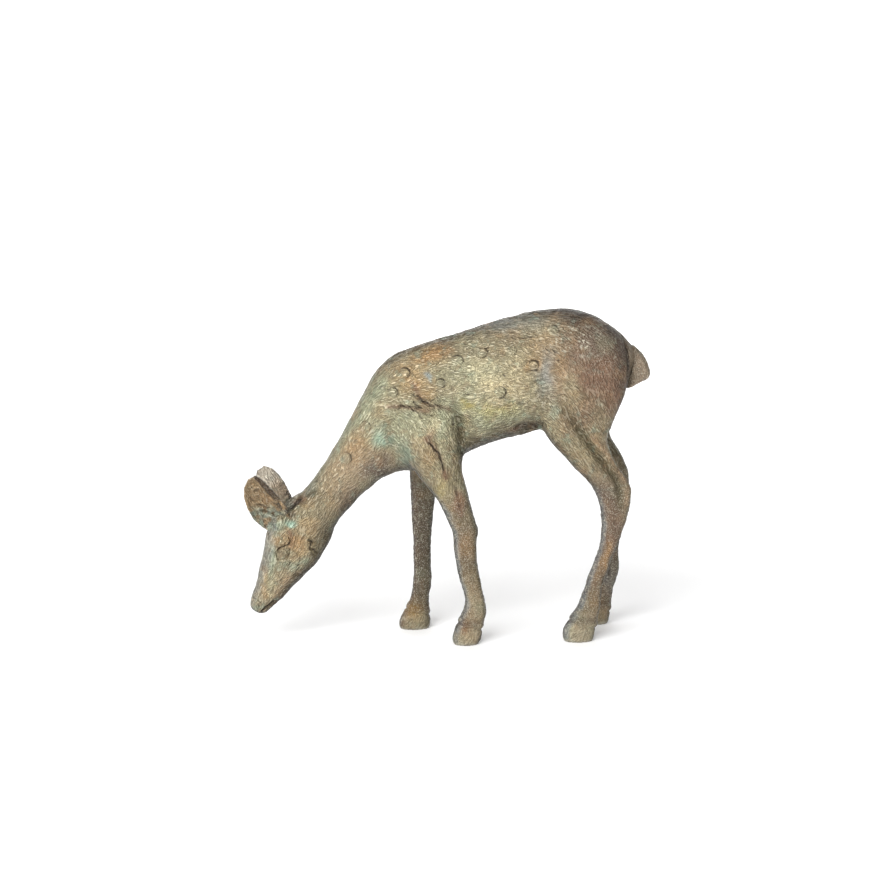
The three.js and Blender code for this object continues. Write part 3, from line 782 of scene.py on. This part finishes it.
def rim_loops(quads):
    """The open edges of a set of quads, as loops of points."""
    edges = np.concatenate([quads[:, [k, (k + 1) % 4]] for k in range(4)])
    forward = {(a, b) for a, b in edges.tolist()}
    following = {}
    for a, b in forward:
        if (b, a) not in forward:
            following.setdefault(b, []).append(a)
    loops = []
    while following:
        start = next(iter(following))
        loop = [start]
        here = start
        while here in following:
            here_next = following[here].pop()
            if not following[here]:
                del following[here]
            here = here_next
            if here == start:
                break
            loop.append(here)
        loops.append(loop)
    return loops


MARK_KINDS = {"tint": ("FLOAT_COLOR", "color"), "flow": ("FLOAT_VECTOR", "vector")}


def make_piece(name, node_names, points, quads, normals, marks, material):
    """A closed piece from part of a skin: its rims are closed inside the figure.

    marks holds what the material reads at each point: tint, relief, dull, grit and flow.
    """
    used = np.unique(quads)
    index = np.full(len(points), -1)
    index[used] = np.arange(len(used))
    verts = list(points[used] * MM)
    faces = index[quads].tolist()
    rims = []
    for loop in rim_loops(quads):
        rim = [int(index[i]) for i in loop]
        rims.append((rim, len(verts)))
        verts.append(np.mean([verts[i] for i in rim], axis=0))
    flat_from = len(faces)
    sharp = []
    for rim, hub in rims:
        for a, b in zip(rim, rim[1:] + rim[:1]):
            faces.append([a, b, hub])
            sharp.append(min(a, b) * len(verts) + max(a, b))
    mesh = bpy.data.meshes.new(name)
    mesh.from_pydata([v.tolist() for v in verts], [], faces)
    mesh.polygons.foreach_set("use_smooth", [k < flat_from for k in range(len(faces))])
    edges = np.empty(len(mesh.edges) * 2, np.int32)
    mesh.edges.foreach_get("vertices", edges)
    edges = np.sort(edges.reshape(-1, 2), axis=1).astype(np.int64)
    flags = np.isin(edges[:, 0] * len(verts) + edges[:, 1], sharp)
    mesh.attributes.new("sharp_edge", "BOOLEAN", "EDGE").data.foreach_set("value", flags)
    hubs = len(rims)
    for label, values in marks.items():
        values = np.pad(values[used], [(0, hubs)] + [(0, 0)] * (values.ndim - 1))
        if label == "tint":
            values = np.pad(values, [(0, 0), (0, 1)], constant_values=1)
        kind, key = MARK_KINDS.get(label, ("FLOAT", "value"))
        data = mesh.attributes.new(label, kind, "POINT").data
        data.foreach_set(key, values.astype(np.float32).ravel())
    custom = np.concatenate([normals[used], np.zeros((hubs, 3))])
    mesh.normals_split_custom_set_from_vertices(custom.tolist())
    mesh.materials.append(material)
    piece = placed(name, mesh)
    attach(piece, "root")
    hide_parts(*node_names)


def bronze_material():
    """Patinated bronze, from the marks on the mesh and fine hairs, stipple and mottles."""
    material = bpy.data.materials.new("patinated_bronze")
    material.use_nodes = True
    nodes, links = material.node_tree.nodes, material.node_tree.links
    shader = nodes["Principled BSDF"]

    def feed(socket, value):
        if hasattr(value, "is_linked"):
            links.new(value, socket)
        else:
            socket.default_value = value

    def node(kind, output, given=(), **settings):
        """An output of a new node, whose inputs get the given values or links."""
        made = nodes.new(kind)
        for key, value in settings.items():
            setattr(made, key, value)
        for key, value in dict(given).items():
            feed(made.inputs[key], value)
        return made.outputs[output]

    def mark(name, output="Fac"):
        return node("ShaderNodeAttribute", output, attribute_name=name)

    def maths(operation, *values):
        return node("ShaderNodeMath", "Value", enumerate(values), operation=operation)

    def vector(operation, *values):
        return node("ShaderNodeVectorMath", "Vector", enumerate(values), operation=operation)

    def scaled(value, factor, start=0.0):
        return maths("MULTIPLY_ADD", value, factor, start)

    def ramp(value, low, high, top=1.0):
        given = {"Value": value, "From Min": low, "From Max": high, "To Max": top}
        return node("ShaderNodeMapRange", "Result", given, interpolation_type="SMOOTHSTEP")

    def grains(where, scale, detail=0.0):
        given = {"Vector": where, "Scale": scale, "Detail": detail}
        return node("ShaderNodeTexNoise", "Fac", given)

    def part(value, place, share):
        return scaled(maths("MULTIPLY", value, place), share)

    def mottle(scale, detail, low, high, top):
        return maths("MULTIPLY", ramp(grains(place, scale, detail), low, high, top), clear)

    place = node("ShaderNodeTexCoord", "Object")
    grit = mark("grit")
    relief = mark("relief")
    combed = maths("SUBTRACT", 1.0, grit)
    clear = scaled(grit, -0.7, 1.0)
    # fine hairs: noise averaged along the lie of the coat
    flow = mark("flow", "Vector")
    hairs = 0.0
    for k in range(-HAIR_STEPS, HAIR_STEPS + 1):
        along = k * HAIR_LENGTH / (2 * HAIR_STEPS) * MM
        where = vector("ADD", place, vector("MULTIPLY", flow, (along, along, along)))
        hairs = maths("ADD", hairs, grains(where, HAIR_SCALE))
    hairs = maths("DIVIDE", hairs, 2 * HAIR_STEPS + 1)
    stipple = grains(place, STIPPLE_SCALE, 1.0)
    look = mark("tint", "Color")
    layers = [
        (mottle(200, 3, 0.56, 0.74, 0.3), VERDIGRIS),
        (mottle(150, 3, 0.55, 0.74, 0.35), OCHRE),
        (mottle(300, 2, 0.52, 0.72, 0.35), UMBER),
        (part(ramp(hairs, 0.47, 0.40), combed, 0.34), DIRT_AND_SHADE),
        (part(ramp(stipple, 0.51, 0.40), grit, 0.4), DIRT_AND_SHADE),
        (part(ramp(hairs, 0.53, 0.60), combed, 0.15), RUBBED),
        (part(ramp(stipple, 0.54, 0.66), grit, 0.36), RUBBED),
        (ramp(relief, -0.1, -0.6, 0.8), DIRT_AND_SHADE),
        (ramp(relief, 0.12, 0.5, 0.4), RUBBED),
    ]
    for weight, tone in layers:
        given = {"Factor": weight, "A": look, "B": (*tone.tolist(), 1.0)}
        look = node("ShaderNodeMix", "Result", given, data_type="RGBA")
    height = maths(
        "ADD",
        maths("MULTIPLY", ramp(hairs, 0.38, 0.62), combed),
        maths("MULTIPLY", stipple, maths("ADD", grit, 0.3)),
    )
    given = {"Strength": 1.0, "Distance": BUMP_DEPTH, "Height": height}
    links.new(look, shader.inputs["Base Color"])
    links.new(scaled(mark("dull"), -0.4, METALLIC), shader.inputs["Metallic"])
    links.new(scaled(grains(place, 900, 2.0), 0.16, 0.34), shader.inputs["Roughness"])
    links.new(node("ShaderNodeBump", "Normal", given), shader.inputs["Normal"])
    return material


def nearest_casting(points, names, grid):
    """For each point, which of the castings it lies closest to."""
    best = np.full(len(points), 1e9)
    label = np.zeros(len(points), int)
    for number, name in enumerate(names):
        apart = grid.sample(grid.distance(*node_mesh(name)), points)
        closer = apart < best
        best[closer] = apart[closer]
        label[closer] = number
    return label


def refined(points, quads, chosen, grid, field):
    """Quarters the chosen quads. Also gives each new point on their rim and its two ends."""
    inner, outer = quads[chosen], quads[~chosen]
    edges = np.concatenate([inner[:, [k, (k + 1) % 4]] for k in range(4)])
    ordered = np.sort(edges, axis=1)
    pairs, where, count = np.unique(ordered, axis=0, return_inverse=True, return_counts=True)
    where = where.reshape(4, len(inner))
    first_middle = len(points)
    first_centre = first_middle + len(pairs)
    centres = points[inner].mean(axis=1)
    points = np.concatenate([points, points[pairs].mean(axis=1), centres])
    centre = first_centre + np.arange(len(inner))
    middle = first_middle + where
    small = [
        np.stack([inner[:, k], middle[k], centre, middle[k - 1]], axis=1) for k in range(4)
    ]
    every = np.concatenate([outer, *small])
    fresh = np.arange(first_middle, len(points))
    on_rim = np.concatenate([count == 1, np.zeros(len(inner), bool)])
    rim = fresh[on_rim], pairs[count == 1]
    normals = normals_of(points, every)
    inside = fresh[~on_rim]
    for _ in range(2):
        apart = grid.sample(field, points[inside])
        points[inside] -= normals[inside] * apart[:, None]
    labels = np.concatenate([np.zeros(len(outer), bool), np.ones(4 * len(inner), bool)])
    return points, every, labels, rim


def skin_mesh(grid, field):
    """The skin, finer on the head: points, quads, each quad's casting, and the head's rim."""
    points, quads = largest_part(*grid.surface(field))
    label = nearest_casting(points[quads].mean(axis=1), CASTINGS, grid)
    head = CASTINGS.index("head_casting")
    others = label[label != head]
    points, quads, is_head, rim = refined(points, quads, label == head, grid, field)
    label = np.full(len(quads), head)
    label[~is_head] = others
    return points, quads, label, rim


def skin_detail(points, normals, flow, rough):
    """The fine relief of the skin, and how far each point is inside a ring spot."""
    x, _, z = points.T
    hair = 0.5 * streaks(points, flow, 1.2, 4.0, 31) + 0.6 * streaks(points, flow, 2.2, 7.0, 32)
    grains = 0.8 * noise(points, 1.4, 33) + 0.5 * noise(points, 2.4, 34)
    cuts = gouged(points, normals, flow, rough)
    rings, disc = spotted(points)
    calm = 1 - 0.6 * step(x + 0.4 * z, -72, -85)
    smooth = 1 - 0.5 * fade(x + 12, 18, z - 130, 14)
    smooth = smooth - 0.35 * step(-x, 38, 56)
    fine = 0.15 * smooth * hair * (1 - 0.6 * rough) + 0.26 * grains * (0.3 + 0.7 * rough)
    fine *= calm
    fine = (fine + cuts * (0.4 + 0.6 * calm)) * (1 - 0.6 * disc) + rings
    return fine, disc


def build_skin(material):
    """The pieces of the body, one for each casting, and the field they were made from."""
    low, high = corners(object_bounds())
    grid = Grid(low - 5, high + 5, VOXEL)
    field = rounded_skin(grid)
    points, quads, label, rim = skin_mesh(grid, field)
    normals = normals_of(points, quads)
    shape, creases = formed(points, normals)
    shape += eyed(points) + hoofed(points, normals)
    rough = granular(points)
    flow = coat_direction(points, normals)
    fine, disc = skin_detail(points, normals, flow, rough)
    coarse = 0.3 * noise(points, 6.0, 35) + 0.14 * noise(points, 3.2, 36)
    total = (shape + fine + coarse) * step(points[:, 2], 0.6, 3.0)
    points = points + normals * total[:, None]
    # the soles are flat, and the head's edge meets the neck's
    sole = (normals[:, 2] < -0.75) & (points[:, 2] < 2.5)
    points[sole, 2] = 0
    points[:, 2] = np.maximum(points[:, 2], 0)
    points[rim[0]] = points[rim[1]].mean(axis=1)
    tint, dull = painted(points, normals, shape)
    marks = {
        "tint": layered(tint, (SAGE, 0.3 * disc)),
        "relief": fine + 0.5 * np.minimum(creases, 0),
        "dull": dull,
        "grit": rough,
        "flow": flow,
    }
    final = normals_of(points, quads)
    hidden = {"torso_casting": PLUGS + PINS}
    for number, name in enumerate(CASTINGS):
        nodes = [name, *hidden.get(name, [])]
        piece = name.replace("_casting", "") + "_skin"
        make_piece(piece, nodes, points, quads[label == number], final, marks, material)
    return grid, field


def closed_node(name, voxel, rounding, swelling):
    """A CAD node as a fine rounded mesh."""
    low, high = corners(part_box(name))
    grid = Grid(low - 4, high + 4, voxel)
    field = blurred(grid.distance(*node_mesh(name), band=PART_BAND), rounding / voxel)
    points, quads = largest_part(*grid.surface(field, swelling))
    return points, quads, normals_of(points, quads)


# Ear outlines: share of the length from the root, width in front of the axis and behind it.
EAR_WIDTHS = {
    "left_ear": [(0, 7.4, 5.4), (0.14, 10.6, 7), (0.32, 12.6, 7.6), (0.54, 12.4, 7),
                 (0.74, 10.4, 5.6), (0.89, 7, 4.4), (1, 1.8, 2.4)],
    "right_ear": [(0, 5.4, 5.4), (0.14, 7.2, 6.2), (0.32, 8, 7.2), (0.54, 8, 7.6),
                  (0.74, 6.6, 7.2), (0.89, 4.8, 5.8), (1, 1.8, 2.4)],
}
EAR_SKIN = srgb(172, 162, 146)
EAR_RIM = srgb(62, 46, 32)
EAR_INSIDE = srgb(150, 124, 88)
# Folds inside the cup, as forms on the left ear: height, half width, and the places.
EAR_FOLDS = [
    (0.7, 0.55, (-113.5, 93.5), (-112, 95.6), (-109.5, 95.4), (-108.6, 93.2), (-110.4, 90.9),
        (-113, 91.2), (-113.6, 93.4)),
    (-0.6, 0.7, (-111.8, 93.6), (-110.4, 93.2)),
    (0.6, 0.6, (-113.8, 97.8), (-110.5, 98.6), (-108, 96.6)),
    (-0.6, 0.6, (-114.5, 90), (-113.4, 87.6), (-111, 86.4)),
    (0.7, 0.8, (-106.8, 94), (-105.6, 90), (-105.6, 86)),
    (0.8, 0.7, (-112.4, 86.2), (-109.5, 85.8), (-106.5, 84)),
    (-0.8, 0.6, (-111.2, 84.4), (-108.5, 83.8), (-105, 82)),
    (0.8, 0.7, (-110, 82.4), (-107, 82), (-103.5, 80.4)),
    (-0.7, 0.6, (-108.4, 80.4), (-105.4, 79.8), (-102, 78.6)),
    (0.7, 0.8, (-107, 78.4), (-103.5, 77.8), (-100, 77)),
]


def ear_frame(name):
    """Root, length, axis, the direction from the front to the rear rim, and the opening's."""
    side = LEFT if name.startswith("left") else RIGHT
    root, tip = np.array(EAR_ROOTS[name], float), np.array(EAR_TIPS[name], float)
    length = np.linalg.norm(tip - root)
    axis = (tip - root) / length
    across = np.array([0.8, 0.25 * side, 0.5])
    across -= (across @ axis) * axis
    across /= np.linalg.norm(across)
    return root, length, axis, across, np.cross(axis, across) * side


def ear_folds(points, share, over):
    """Height of the folds in a cup, by the share of its length and the way behind its axis."""
    root, length, axis, across, _ = ear_frame("left_ear")
    like_left = root + (share * length)[:, None] * axis + over[:, None] * across
    moved = like_left + 0.3 * noise(points, 2.0, 50)[:, None]
    height = np.zeros(len(points))
    for amount, width, *line in EAR_FOLDS:
        apart, _ = near_line(moved, line)
        height += amount * fade(apart, width)
    return height + 0.25 * noise(points, 1.7, 51)


def build_ear(name, material):
    """An ear: a cup with a thick dark rear rim, and folds inside."""
    points, quads, normals = closed_node(name, voxel=0.34, rounding=0.5, swelling=0.28)
    root, length, axis, across, opening = ear_frame(name)
    share = (points - root) @ axis / length
    shares, fronts, rears = zip(*EAR_WIDTHS[name])
    front, rear = np.interp(share, shares, fronts), np.interp(share, shares, rears)
    over = (points - root) @ across
    place = (over - (rear - front) / 2) / ((rear + front) / 2)
    inside = step(normals @ opening, 0.3, 0.65) * step(share, 0.08, 0.2)
    cupped = ear_folds(points, share, over)
    hollow = -1.1 * np.clip(1 - (place / 0.75) ** 2, 0, 1) * step(share, 0.2, 0.45)
    hollow *= 1 - step(share, 0.85, 1.0)
    rolled = fade(place - 0.9, 0.26) * step(share, 0.1, 0.3)
    front_rim = fade(place + 0.95, 0.13) * step(share, 0.1, 0.3)
    rough = fade(place - 0.8, 0.35) * (1 - step(share, 0.5, 0.66))
    height = inside * (cupped + hollow) + 0.8 * rolled + 0.35 * front_rim
    height += 0.7 * rough * noise(points, 1.5, 56)
    flow = axis - (normals @ axis)[:, None] * normals
    outer = 1 - step(normals @ opening, -0.2, 0.3)
    fine = 0.05 * streaks(points, flow, 1.0, 3.0, 52) * outer + 0.1 * noise(points, 0.9, 53)
    points = points + normals * (height + fine)[:, None]

    mottled = noise(points, 3.0, 54)
    warm = fade(place - 0.35, 0.4, share - 0.5, 0.14) * inside
    low = 1 - step(share + 0.15 * place, 0.3, 0.5)
    base = low * step(noise(points, 2.2, 55) + 0.3 * cupped, -0.5, 0.3)
    knots = np.clip(rough + 0.6 * low, 0, 1) * step(noise(points, 1.5, 57), -0.3, 0.5)
    edge = np.clip(1.5 * step(place, 0.5, 0.8), 0, 0.95) * step(share, 0.42, 0.6) * (1 - outer)
    tint = layered(
        EAR_SKIN,
        (OCHRE, 0.45 * (1 - step(share, 0.55, 0.75))),
        (PLUM, 0.3 * step(mottled, 0.0, 0.7)),
        (RUBBED, 0.6 * step(share, 0.6, 0.8) * step(noise(points, 1.1, 58), 0.45, 0.75)),
        (EAR_INSIDE, inside * (0.85 + 0.1 * mottled)),
        (OCHRE, 0.5 * warm),
        (VERDIGRIS, 0.6 * base),
        (DIRT_AND_SHADE, 0.9 * knots),
        # painted shade low in the cup
        (BLACK, 0.25 * low * inside),
        (EAR_RIM, edge),
        # painted shade along the front and rear edges of the ear's back
        (BLACK, 0.45 * step(np.abs(place), 0.86, 1.0) * outer),
    )
    marks = {
        "tint": tint,
        "relief": fine + inside * np.clip(0.6 * cupped + 0.15 * hollow, -0.34, 0.28),
        "dull": 0.8 * base,
        "grit": 0.35 + 0.5 * np.clip(rough, 0, 1),
        "flow": flow,
    }
    make_piece(f"{name}_skin", [name], points, quads, normals_of(points, quads), marks, material)


TAIL_LIE = np.array([0.45, 0, -0.9])  # the direction of the tail's hairs


def build_tail(material, skin_grid, skin_field):
    """The tail, with painted shade along its rear and top and where it grows out of the skin."""
    points, quads, normals = closed_node("tail_casting", voxel=0.45, rounding=0.6, swelling=0.3)
    flow = TAIL_LIE - (normals @ TAIL_LIE)[:, None] * normals
    fine = 0.16 * noise(points, 1.2, 61) + 0.12 * noise(points, 2.2, 62)
    fine += 0.14 * streaks(points, flow, 1.3, 4.0, 63)
    points = points + normals * fine[:, None]
    corner = fade(points[:, 0] - 114, 5, points[:, 2] - 158, 4)
    points = points + np.array([2.0, 0, -1.0]) * corner[:, None]
    apart = skin_grid.sample(skin_field, points)
    mottled = step(noise(points, 2.4, 64), -0.2, 0.6)
    tint = layered(
        TAIL_SKIN,
        (ROSE, 0.5 * mottled),
        # painted shade on the tail's sides that face back and up
        (UMBER, 0.6 * step(normals[:, 0] + 0.5 * normals[:, 2], 0.3, 0.9)),
        # painted shade where the tail grows out of the skin
        (DIRT_AND_SHADE, 0.5 * (1 - step(apart, 0.2, 1.6))),
    )
    marks = {
        "tint": tint,
        "relief": fine,
        "dull": 0.2 * mottled,
        "grit": np.ones(len(points)),
        "flow": flow,
    }
    final = normals_of(points, quads)
    make_piece("tail_skin", ["tail_casting"], points, quads, final, marks, material)


bronze = bronze_material()
skin_grid, skin_field = build_skin(bronze)
for name in EAR_ROOTS:
    build_ear(name, bronze)
build_tail(bronze, skin_grid, skin_field)

# ---- view

AIM = Vector((0, 0, 0.1))
DISTANCE = 0.8
AZIMUTH = math.radians(4.5)
ELEVATION = math.radians(13.36)
camera = placed("camera", bpy.data.cameras.new("camera"))
forward = Vector((
    math.sin(AZIMUTH) * math.cos(ELEVATION),
    math.cos(AZIMUTH) * math.cos(ELEVATION),
    -math.sin(ELEVATION),
))
camera.location = AIM - forward * DISTANCE
camera.rotation_euler = forward.to_track_quat("-Z", "Y").to_euler()
camera.data.lens = 55.0
camera.data.shift_x = -0.0026
camera.data.shift_y = 0.0322
scene.camera = camera
scene.view_settings.view_transform = "Standard"


def backdrop():
    """A pale floor that curves up into a wall far behind the figure."""
    half, bend, back, top = 5.0, 1.2, 4.0, 4.0
    profile = [(-half, 0.0)]
    for k in range(13):
        angle = math.radians(90 * k / 12)
        profile.append((back - bend + bend * math.sin(angle), bend - bend * math.cos(angle)))
    profile.append((back, top))
    verts = [(x, y, z) for y, z in profile for x in (-half, half)]
    faces = [(2 * k, 2 * k + 1, 2 * k + 3, 2 * k + 2) for k in range(len(profile) - 1)]
    mesh = bpy.data.meshes.new("floor")
    mesh.from_pydata(verts, [], faces)
    mesh.shade_smooth()
    placed("floor", mesh)
    pale = bpy.data.materials.new("floor")
    pale.use_nodes = True
    shader = pale.node_tree.nodes["Principled BSDF"]
    shader.inputs["Base Color"].default_value = (0.93, 0.93, 0.93, 1)
    shader.inputs["Roughness"].default_value = 0.9
    shader.inputs["Specular IOR Level"].default_value = 0.1
    mesh.materials.append(pale)


def area(name, location, width, power, aim=AIM):
    light = bpy.data.lights.new(name, "AREA")
    light.shape = "DISK"
    light.size = width
    light.energy = power
    lamp = placed(name, light)
    lamp.location = location
    lamp.rotation_euler = (aim - Vector(location)).to_track_quat("-Z", "Y").to_euler()


backdrop()
world = bpy.data.worlds.new("world")
scene.world = world
world.use_nodes = True
background = world.node_tree.nodes["Background"].inputs
background["Color"].default_value = (1, 1, 1, 1)
background["Strength"].default_value = 0.6
area("key", (-1.0, -1.4, 1.3), 2.0, 53)
area("fill", (1.2, -1.3, 0.9), 1.0, 2)
area("wall", (0, 1.4, 2.6), 2.5, 160, Vector((0, 4.0, 1.2)))
